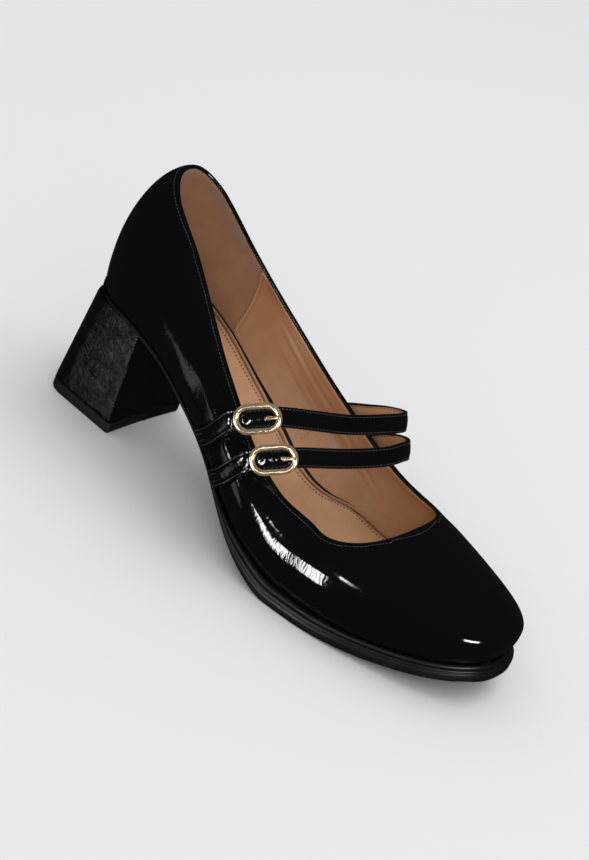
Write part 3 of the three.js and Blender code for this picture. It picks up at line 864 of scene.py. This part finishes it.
sockLook = {
    "rise": 3.0,
    "gap": 2.1,               # slit along the wall at the heel and waist, over the black board that is partly painted shade
    "round": 1.1,
    "dish": 0.7,
    "prickIn": 5.2,
    "prickEnd": 178,
    "pitch": 1.75,
    "stitch": {"length": 0.9, "radius": 0.34},
}


def footRing(u, side, offset, height):
    x, y, _, _ = outline(u, side, offset)
    return np.stack([x, y, featherZ(onLast(x)) + height], -1)


def slabPiece(name, rings, materials, replaced=(), crossRows=24, dish=0.0):
    # rings go from the underside up; the top is spanned from side to side with a slight dish
    cols = len(rings[0])
    faces = gridFaces(len(rings), cols, closeCols=True)
    half = cols // 2
    extra = []
    base = len(rings) * cols
    for ring, start, flip in ((rings[-1], (len(rings) - 1) * cols, False), (rings[0], 0, True)):
        rows = []
        for i in range(1, half):
            k = cols - i
            row = [start + i]
            a, b = ring[i], ring[k]
            for t in np.linspace(0, 1, crossRows + 1)[1:-1]:
                point = a + (b - a) * t
                point = point - np.array([0, 0, dish * math.sin(math.pi * t) ** 0.7]) * (0 if flip else 1)
                extra.append(point)
                row.append(base + len(extra) - 1)
            row.append(start + k)
            rows.append(row)
        for a, b in zip(rows[:-1], rows[1:]):
            for j in range(crossRows):
                quad = (a[j], a[j + 1], b[j + 1], b[j])
                faces.append(quad[::-1] if flip else quad)
        first, final = rows[0], rows[-1]
        for j in range(crossRows):
            tip = (start, first[j + 1], first[j])
            back = (start + half, final[j], final[j + 1])
            faces.append(tip[::-1] if flip else tip)
            faces.append(back[::-1] if flip else back)
    return meshPiece(name, np.concatenate([*rings, extra]), faces, materials, replaced)


def sockGap(x, side):
    fade = np.where(side > 0, 1 - ramp(x, 124, 150), 1 - ramp(x, 150, 185))
    return sockLook["gap"] * fade - 0.3 * (1 - fade)


def sockEdge(u, side):
    x = outline(u, side, 0)[0]
    return -(form["wall"] + 0.5 + sockGap(x, side) + archInset(x, side))


def buildSock():
    look = sockLook
    u, side = aroundLast(30, 70, 70)
    edge = sockEdge(u, side)
    top, bend = look["rise"], look["round"]
    profile = [
        (0.1, 0.9), (0.1, top - bend), (0, top - bend * 0.55),
        (-bend * 0.3, top - bend * 0.18), (-bend * 0.8, top), (-3.0, top + 0.05),
    ]
    rings = [footRing(u, side, edge + out, high) for out, high in profile]
    slabPiece("insole_sock", rings, [sockLeather], ["insole"], dish=look["dish"])
    # the board shows in the slit beside the sock; its black is partly its own colour, partly painted shade
    slab = [footRing(u, side, -(form["wall"] + 0.7), high) for high in (0.35, 1.9)]
    slabPiece("insole_board_and_slit_shade", slab, [boardBlackAndSlitShade])

    # a row of pricks along both sides, as far as prickEnd
    row = footRing(u, side, edge - look["prickIn"], top + 0.02)
    row[:, 2] -= look["dish"] * 0.25
    keep = row[:, 0] < look["prickEnd"]
    path = np.concatenate([row[keep & (side < 0)], row[keep & (side > 0)]])
    run = alongPath(path, np.tile([0.0, 0, 1], (len(path), 1)), look["pitch"])
    stitchPiece("insole_pricks", [run], look["stitch"], prickShade)
    print("sock ready")


buildSock()


# outsole and heel

soleLook = {
    "rand": 1.5,              # the thin strip next to the upper
    "step": 0.45,
    "groove": 0.35,
    "welt": 1.5,              # the bead that closes the corner under the upper
    "corner": 0.9,
}


def buildOutsole():
    look = soleLook
    u, side = aroundLast(36, 110, 120)
    x = outline(u, side, 0)[0]
    ledge = soleLedge(x)
    depth = soleDepth(x)
    thick = depth - form["clearance"]
    top = -form["clearance"]
    share = ramp(depth, 2.4, 5.0)
    rand = look["rand"] * share
    corner = np.minimum(look["corner"], thick * 0.4)
    profile = [
        (-corner, -depth),
        (-corner * 0.3, -depth + corner * 0.16),
        (-corner * 0.05, -depth + corner * 0.5),
        (0 * x, -depth + corner),
        (0.06 * share, -depth + corner + (thick - corner - rand) * 0.5),
        (0 * x, top - rand - 0.35 * share),
        (-0.12 * share, top - rand - 0.12 * share),
        (-look["groove"] * share - 0.02, top - rand),
        (-look["step"] * share - 0.03, top - rand + 0.12 * share + 0.02),
        (-look["step"] * share * 0.7 - 0.04, top - rand * 0.6 + 0.04),
        (-look["step"] * share * 0.85 - 0.08, top - rand * 0.25 - 0.05),
        (-look["step"] * share - 0.25, top - 0.04 * share),
        (-look["step"] * share - 0.6, top + 0.05 * share),
        (-1.25 * share - 0.62, top + 0.1 * share),
        (-1.4 * share - 0.64, top + look["welt"] * 0.55 * share),
        (-1.75 * share - 0.66, top + look["welt"] * 0.9 * share),
        (-2.3 * share - 0.68, top + look["welt"] * share),
        (-ledge + 0.6 * share - 0.3, top + look["welt"] * 0.95 * share),
    ]
    rings = [footRing(u, side, ledge + out, high) for out, high in profile]
    slabPiece("outsole_rounded", rings, [soleRubber], ["outsole"], crossRows=10)


heelBlock = {
    "bottomBack": -3.0, "bottomBreast": 40.0, "bottomHalf": 24.5,
    "topBack": 4.0, "topBreast": 39.0, "topHalf": 26.0,
    "backDepth": 13.0, "squareness": 3.2, "topPiece": 5.2,
    "corner": 1.1, "dishedBreast": 0.7, "seamShare": 0.5, "seamDeep": 0.35,
}


def heelOutline(share, inset=0.0, backSteps=64):
    # closed outline of the heel at a height share, back, outer side, breast, inner side
    block = heelBlock
    back = block["bottomBack"] + (block["topBack"] - block["bottomBack"]) * share + inset
    breast = block["bottomBreast"] + (block["topBreast"] - block["bottomBreast"]) * share - inset
    half = block["bottomHalf"] + (block["topHalf"] - block["bottomHalf"]) * share - inset
    power = 2 / block["squareness"]
    angle = np.linspace(0, np.pi / 2, backSteps)
    x = back + block["backDepth"] * (1 - np.maximum(np.cos(angle), 0) ** power)
    y = half * np.sin(angle) ** power
    corner = block["corner"]
    sideX = np.linspace(x[-1], breast - corner, 12)[1:]
    bend = np.linspace(0, np.pi / 2, 7)[1:]
    cornerX = breast - corner + corner * np.sin(bend)
    cornerY = half - corner + corner * np.cos(bend)
    x = np.concatenate([x, sideX, cornerX])
    y = np.concatenate([y, np.full(len(sideX), half), cornerY])
    across = np.linspace(-1, 1, 110)[1:-1] * (half - corner)
    dish = block["dishedBreast"] * np.cos(across / half * np.pi / 2)
    seamAt = (-1 + 2 * block["seamShare"]) * half
    seam = block["seamDeep"] * np.exp(-((across - seamAt) / 0.5) ** 2)
    ridge = 0.22 * np.exp(-((across - seamAt - 1.3) / 0.8) ** 2)
    breastX = breast - dish * (1 - inset / 5) - seam + ridge
    outer = np.stack([x, -y], -1)
    front = np.stack([breastX, across], -1)
    inner = np.stack([x, y], -1)[::-1]
    return np.concatenate([outer, front, inner[:-1]])


def heelRings(levels, seat):
    base = heelBlock["topPiece"] + form["clearance"]
    rings = []
    for share, inset, drop in levels:
        flat = heelOutline(share, inset)
        top = featherZ(onLast(flat[:, 0])) - form["waistThick"] - form["clearance"]
        z = base + (top - base) * share + drop if seat else np.full(len(flat), drop)
        rings.append(np.column_stack([flat, z]))
    return rings


def closedStack(name, rings, materials, replaced):
    cols = len(rings[0])
    faces = gridFaces(len(rings), cols, closeCols=True)
    base = len(rings) * cols
    for centre, start, flip in ((base, 0, True), (base + 1, base - cols, False)):
        for i in range(cols):
            tri = (start + i, start + (i + 1) % cols, centre)
            faces.append(tri[::-1] if flip else tri)
    centres = [rings[0].mean(axis=0), rings[-1].mean(axis=0)]
    return meshPiece(name, np.concatenate([*rings, centres]), faces, materials, replaced)


def buildHeel():
    # a level is a height share, an inset and a rise
    middle = [(share, 0, 0) for share in np.linspace(0.012, 0.988, 40)]
    levels = [(0, 0.5, 0.0), (0, 0.12, 0.12), *middle, (1, 0.1, -0.12), (1, 0.45, 0.0)]
    rings = heelRings(levels, True)
    for ring in rings[2:-2]:
        x, y, z = ring[:, 0], ring[:, 1], ring[:, 2]
        soft = 0.12 * np.sin(z * 0.21 + 0.9 * np.sin(x * 0.09)) + 0.07 * np.sin(z * 0.47 + x * 0.06)
        ring[:, 1] += np.where(y < 0, 1, -1) * 0.5 * np.abs(soft) * (x < 36)
    closedStack("heel_cover", rings, [patentHeel], ["heel_block"])
    high = heelBlock["topPiece"]
    levels = [
        (0, 0.9, 0.0), (0, 0.3, 0.12), (0, 0.05, 0.6), (0, 0, 1.0),
        (0, 0, high - 0.5), (0, 0.1, high - 0.15), (0, 0.5, high),
    ]
    closedStack("heel_lift", heelRings(levels, False), [heelRubber], ["heel_top_piece"])


buildOutsole()
buildHeel()
print("sole and heel ready")


# straps, tabs and buckles

band = {
    "width": 8.8, "thick": 2.0, "edgeRound": 0.55,
    "stand": 0.3, "lift": 1.0, "foot": -0.78, "sweep": 1.3,
    "tabOnWall": 4,           # stations of a tab that lie on the wall
    "beforeCentre": 8.0, "pastCentre": 8.6, "rootRise": 0.64, "tabRise": 0.42,
    "stitchIn": 1.25, "pillow": 0.28, "dent": 0.2, "puff": 1.15, "puffLong": 5.6,
    "pitch": 1.75, "stitch": {"length": 1.2, "radius": 0.17},
}
ring = {"long": 21.2, "across": 13.2, "wire": 1.15, "raise": 0.2, "flat": 1.15}
prong = {"root": 4.0, "tip": 10.6, "radius": 0.85, "tipRadius": 0.65}
strapTable = {
    "rear": {"rootFoot": 96, "rootTop": 115, "tabFoot": 92, "tabTop": 104.5},
    "front": {"rootFoot": 113, "rootTop": 130, "tabFoot": 108, "tabTop": 120},
}
loopTable = {
    "rear": columns("x y z", [
        (123.5, 42.4, 53.8), (132.5, 42.8, 58.6), (140.8, 40.5, 63), (143.3, 34, 65.2),
        (141.3, 24, 65.8), (135, 6, 65.8), (115.4, -34, 66),
    ]),
    "front": columns("x y z", [
        (138.5, 43.8, 48), (144.8, 43.5, 50.6), (149.3, 38.5, 53.2), (150.8, 31.5, 55.2),
        (149.8, 21, 55), (143, 4, 53.7), (131, -35.5, 56.2),
    ]),
}
lean = np.array([0.49, -0.18, -0.853])
towardTab = np.array([-0.75, -0.5, -0.5])


def throughPoints(points, share, centripetal):
    # Catmull-Rom curve through the points
    n = len(points)
    place = (n - 1) * share
    i = min(int(place), n - 2)
    t = place - i
    p1, p2 = points[i], points[i + 1]
    p0 = points[i - 1] if i > 0 else 2 * p1 - p2
    p3 = points[i + 2] if i + 2 < n else 2 * p2 - p1
    if centripetal:
        d0, d1, d2 = (np.sum((b - a) ** 2) ** 0.25 for a, b in ((p0, p1), (p1, p2), (p2, p3)))
        t1 = ((p1 - p0) / d0 - (p2 - p0) / (d0 + d1) + (p2 - p1) / d1) * d1
        t2 = ((p2 - p1) / d1 - (p3 - p1) / (d1 + d2) + (p3 - p2) / d2) * d1
    else:
        t1, t2 = 0.5 * (p2 - p0), 0.5 * (p3 - p1)
    return p1 + t1 * t + (3 * (p2 - p1) - 2 * t1 - t2) * t ** 2 + (2 * (p1 - p2) + t1 + t2) * t ** 3


def resample(points, widths, count):
    points, widths = np.array(points), np.array(widths)
    shares = np.linspace(0, 1, count + 1)
    centres = np.array([throughPoints(points, s, True) for s in shares])
    ahead = np.array([throughPoints(points, min(s + 1e-4, 1), True) for s in shares])
    behind = np.array([throughPoints(points, max(s - 1e-4, 0), True) for s in shares])
    along = unit(ahead - behind)
    width = np.array([throughPoints(widths, s, False) for s in shares])
    width = unit(width - np.sum(width * along, axis=1, keepdims=True) * along)
    return centres, along, width, np.cross(along, width)


def wallStations(foot, top, side, rise, count):
    share = np.linspace(0, 1, count)
    along = share ** band["sweep"]
    u = uAtX(foot + (top - foot) * along)
    sides = np.full(count, float(side))
    phiEnds = np.array([band["foot"], rise * toplinePhi(u[-1:], sides[-1:])[0]])
    heights = lastPoint(u[[0, -1]], sides[[0, -1]], phiEnds)[:, 2]
    level = heights[0] + (heights[1] - heights[0]) * along
    phi = phiAtHeight(u, sides, lambda x: level, band["foot"])
    height = band["stand"] + band["thick"] / 2 + band["lift"] * share ** 2
    normals = lastNormal(u, sides, phi)
    points = lastPoint(u, sides, phi) + normals * height[:, None]
    after = points[np.minimum(np.arange(count) + 1, count - 1)]
    before = points[np.maximum(np.arange(count) - 1, 0)]
    return points, unit(np.cross(normals, after - before))


def buckleAxes(name):
    centre = np.array([loopTable[name][axis][-1] for axis in "xyz"])
    along = unit(towardTab)
    across = unit(lean - (lean @ along) * along)
    return centre, along, across, np.cross(along, across)


def bandSection(half, deep):
    # outline of the band: outer face, edge, inner face, edge
    bend = band["edgeRound"]
    flat = half - bend
    face = [(w * flat, deep) for w in np.linspace(-1, 1, 17)]
    edge = [(flat + bend * math.sin(a), deep * math.cos(a)) for a in np.linspace(0, np.pi, 8)[1:-1]]
    front = np.array(face + edge)
    return np.vstack([front, -front]), len(face), len(front)


def buildBand(name, stations, count, replaced, puffAt=None, doubleRow=False):
    centres, _, width, normal = resample(*stations, count)
    half, deep = band["width"] / 2, band["thick"] / 2
    sectionPoints, faceCount, frontCount = bandSection(half, deep)
    lengths = np.concatenate([[0], np.cumsum(np.linalg.norm(np.diff(centres, axis=0), axis=1))])
    w, h = sectionPoints.T
    cols = len(w)
    edgeIn = half - np.abs(w)
    outerFace = np.arange(cols) < faceCount
    innerFace = np.roll(outerFace, frontCount)
    pillow = band["pillow"] * np.clip((edgeIn - band["stitchIn"]) / 2.2, 0, 1) ** 0.6
    dent = band["dent"] * np.exp(-((edgeIn - band["stitchIn"]) / 0.4) ** 2)
    endShare = np.minimum(lengths, lengths[-1] - lengths)
    taper = np.sqrt(np.clip(endShare / 1.2, 0.0, 1))
    swell = np.zeros(len(lengths))
    if puffAt is not None:
        swell = np.exp(-(np.abs(lengths - lengths[-1] + puffAt) / band["puffLong"]) ** 4)
    waves = 0.07 * np.sin(lengths * 0.42 + 0.8 * np.sin(lengths * 0.13))
    taper, swell, waves = (values[:, None] for values in (taper, swell, waves))
    rise = h * (0.35 + 0.65 * taper)
    rise = rise + outerFace * (pillow * taper - dent + waves * 0.6)
    rise = rise - innerFace * (pillow * 0.3 - dent * 0.7)
    rise = rise + outerFace * swell * band["puff"] * np.clip(1 - (w / half) ** 2, 0, 1) ** 0.6
    points = centres[:, None] + w[:, None] * width[:, None] + rise[..., None] * normal[:, None]
    faces = gridFaces(len(centres), cols, closeCols=True, flip=True)
    faces += endFaces(cols, 0, (len(centres) - 1) * cols, flip=True)
    kinds = [int(frontCount <= k < frontCount + faceCount - 1) for k in range(cols)] * (len(centres) - 1)
    kinds += [0, 0]
    meshPiece(name, points, faces, [patentStrap, liningLeather], replaced, kinds)

    # stitch rows: face, way out, edge, distance in from the edge and last station
    start, stop = 3, len(centres) - 3
    rows = [(outerFace, 1, edge, band["stitchIn"], stop) for edge in (-1, 1)]
    rows += [(innerFace, -1, edge, band["stitchIn"], stop) for edge in (-1, 1)]
    if doubleRow:
        last = min(len(centres) // 2, stop)
        rows += [(outerFace, 1, edge, band["stitchIn"] + 1.5, last) for edge in (-1, 1)]
    runs = []
    for face, sign, edge, inset, last in rows:
        k = np.where(face, np.abs(w - edge * (half - inset)), 99).argmin()
        path = points[start:last, k] + normal[start:last] * sign * 0.06
        runs.append(alongPath(path, normal[start:last] * sign, band["pitch"]))
    stitchPiece(name + "_stitching", runs, band["stitch"], darkThreadAndPaintedGlint)


def roundBar(name, centres, first, second, radii, closed, replaced, sides=20, flat=1.0):
    angles = (np.arange(sides) / sides * 2 * np.pi)[:, None]
    spokes = np.cos(angles) * flat * first[:, None] + np.sin(angles) * second[:, None]
    points = centres[:, None] + spokes * np.asarray(radii)[:, None, None]
    faces = gridFaces(len(centres), sides, closeCols=True, closeRows=closed)
    if not closed:
        faces += endFaces(sides, 0, (len(centres) - 1) * sides)
    meshPiece(name, points, faces, [paleGold], replaced)


def buildRing(name):
    centre, along, across, out = buckleAxes(name)
    steps = 120
    height = band["thick"] / 2 + form["clearance"] + ring["raise"] + ring["wire"]
    wide = ring["wire"] * ring["flat"]
    end = ring["across"] / 2 - wide
    straight = ring["long"] / 2 - wide - end
    corner = np.linspace(-np.pi / 2, np.pi / 2, steps // 2)
    angle = np.concatenate([corner, corner + np.pi])
    c, s = np.cos(angle), np.sin(angle)
    shift = np.repeat([straight, -straight], steps // 2)
    centres = centre + (shift + c * end)[:, None] * along + (s * end)[:, None] * across + height * out
    outward = unit(c[:, None] * along + s[:, None] * across)
    upward = np.tile(out, (steps, 1))
    wires = np.full(steps, ring["wire"])
    replaced = ["buckle_" + name]
    roundBar("ring_" + name, centres, outward, upward, wires, True, replaced, flat=ring["flat"])


def buildProng(name):
    centre, along, across, out = buckleAxes(name)
    low = band["thick"] / 2 + 2 * form["clearance"] + prong["radius"]
    high = low + ring["raise"] + 2 * ring["wire"] + 0.1
    share = np.array([-0.03, 0, 0.06, 0.15, 0.3, 0.5, 0.7, 0.85, 0.94, 0.985, 1.0])
    grow = np.array([0.5, 1.0, 1.3, 1.25, 1, 1, 1, 1, 0.8, 0.45, 0.1])
    bow = 0.35 * np.sin(np.pi * np.clip(share, 0, 1))
    reach = -prong["root"] - (prong["tip"] - prong["root"]) * share
    rise = low + (high - low) * share + bow
    centres = centre + reach[:, None] * along + rise[:, None] * out
    steer = unit(np.gradient(centres, axis=0))
    first = np.tile(across, (len(share), 1))
    second = np.cross(steer, first)
    radii = (prong["radius"] + (prong["tipRadius"] - prong["radius"]) * np.clip(share, 0, 1)) * grow
    roundBar("pin_" + name, centres, first, second, radii, False, ["prong_" + name], 16)


for name, strap in strapTable.items():
    centre, along, across, out = buckleAxes(name)
    rootPoints, rootWidths = wallStations(strap["rootFoot"], strap["rootTop"], 1, band["rootRise"], 6)
    tabPoints, tabWidths = wallStations(strap["tabFoot"], strap["tabTop"], -1, band["tabRise"], 6)
    loop = np.stack([loopTable[name][axis] for axis in "xyz"], -1)[:-1]
    loopWidths = np.tile(lean, (len(loop), 1))
    loopWidths[0] = rootWidths[-1]
    ends = np.array([centre + along * past for past in (-band["beforeCentre"], 0, band["pastCentre"])])
    strapPath = np.concatenate([rootPoints, loop, ends])
    strapWidth = np.concatenate([rootWidths, loopWidths, np.tile(across, (3, 1))])
    buildBand("strap_band_" + name, (strapPath, strapWidth), 240, ["strap_" + name], band["pastCentre"])
    tips = np.array([centre + along * (band["pastCentre"] + past) for past in (3, form["clearance"])])
    tabPath = np.concatenate([tabPoints[:band["tabOnWall"]], tips])
    tabWidth = np.concatenate([tabWidths[:band["tabOnWall"]], np.tile(-across, (2, 1))])
    buildBand("tab_band_" + name, (tabPath, tabWidth), 60, ["tab_" + name], doubleRow=True)
    buildRing(name)
    buildProng(name)
print("straps ready")


# floor, camera and light

stageLook = {
    "floor": (0.81, 0.80, 0.81),
    "world": 0.75,
    "worldInGloss": 0.015,    # how bright the world is in reflections
    "worldColour": (0.97, 0.98, 1.0),
    "size": 6.0,
}


def buildStage():
    mesh = bpy.data.meshes.new("floor")
    half = stageLook["size"]
    corners = [(-half, -half, 0), (half, -half, 0), (half, half, 0), (-half, half, 0)]
    mesh.from_pydata(corners, [], [(0, 1, 2, 3)])
    floor = bpy.data.objects.new("floor", mesh)
    bpy.context.scene.collection.objects.link(floor)
    floor.visible_glossy = False
    paper, _, _ = newMaterial("floorPaper", colour=(*stageLook["floor"], 1), roughness=0.9, specular=0.0)
    mesh.materials.append(paper)

    world = bpy.data.worlds.new("studio")
    bpy.context.scene.world = world
    world.use_nodes = True
    tree = world.node_tree
    gloss = addNode(tree, "ShaderNodeLightPath").outputs["Is Glossy Ray"]
    strength = remap(tree, gloss, stageLook["world"], stageLook["worldInGloss"])
    background = tree.nodes["Background"]
    background.inputs["Color"].default_value = (*stageLook["worldColour"], 1)
    tree.links.new(strength, background.inputs["Strength"])


def softbox(name, target, azimuth, elevation, distance, size, radiance, gloss=True, diffuse=True):
    # azimuth and elevation give the direction from the target to the lamp, in degrees
    a, e = math.radians(azimuth), math.radians(elevation)
    way = Vector((math.cos(a) * math.cos(e), math.sin(a) * math.cos(e), math.sin(e)))
    lamp = bpy.data.lights.new(name, "AREA")
    lamp.shape = "RECTANGLE"
    lamp.size, lamp.size_y = size
    lamp.energy = radiance * size[0] * size[1] * math.pi
    lit = bpy.data.objects.new(name, lamp)
    bpy.context.scene.collection.objects.link(lit)
    lit.location = Vector(target) + way * distance
    lit.rotation_mode = "QUATERNION"
    lit.rotation_quaternion = way.to_track_quat("Z", "Y")
    lit.visible_glossy = gloss
    lit.visible_diffuse = diffuse
    lit.visible_camera = False


# what a lamp points at, azimuth and elevation of the lamp in degrees, distance, size and radiance;
# the floor isn't in reflections, so a lamp may stand below it
glossLamps = {
    "vampKey": ((0.146, -0.038, 0.025), -98, -8, 0.4, (0.045, 0.2), 26),
    "toeGlint": ((0.217, -0.011, 0.032), -29, 17, 0.6, (0.22, 0.15), 26),
    "buckleGlint": ((0.104, -0.035, 0.064), -72, 13, 0.2, (0.024, 0.024), 20),
    "tabGlint": ((0.104, -0.04, 0.055), -125, -16, 0.14, (0.02, 0.02), 18),
    "heelSheen": ((0.02, -0.026, 0.035), -120, -31, 0.3, (0.08, 0.08), 0.7),
}
fillLamps = {
    "topFill": ((0.1, 0, 0.05), 60, 70, 1.6, (1.2, 1.2), 1.6),
    "sideFill": ((0.1, 0, 0.05), -60, 35, 1.6, (1.0, 1.0), 1.2),
}
cameraLook = {
    "lens": 96.95,
    "sensor": 36,
    "place": (0.51156, -0.75529, 0.56244),
    "right": (0.7056, 0.6211, 0.3411),
    "forward": (-0.4155, 0.7526, -0.5108),
}


def buildCamera():
    camera = bpy.data.cameras.new("camera")
    camera.sensor_fit = "AUTO"
    camera.sensor_width = cameraLook["sensor"]
    camera.lens = cameraLook["lens"]
    camera.clip_start, camera.clip_end = 0.05, 30
    seen = bpy.data.objects.new("camera", camera)
    bpy.context.scene.collection.objects.link(seen)
    right = Vector(cameraLook["right"]).normalized()
    forward = Vector(cameraLook["forward"])
    forward = (forward - right * forward.dot(right)).normalized()
    up = (-forward).cross(right)
    turn = Matrix((right, up, -forward)).transposed()
    seen.matrix_world = Matrix.Translation(cameraLook["place"]) @ turn.to_4x4()
    bpy.context.scene.camera = seen


buildStage()
for name, settings in glossLamps.items():
    softbox(name, *settings, diffuse=False)
for name, settings in fillLamps.items():
    softbox(name, *settings, gloss=False)
buildCamera()
bpy.context.scene.view_settings.view_transform = "Standard"
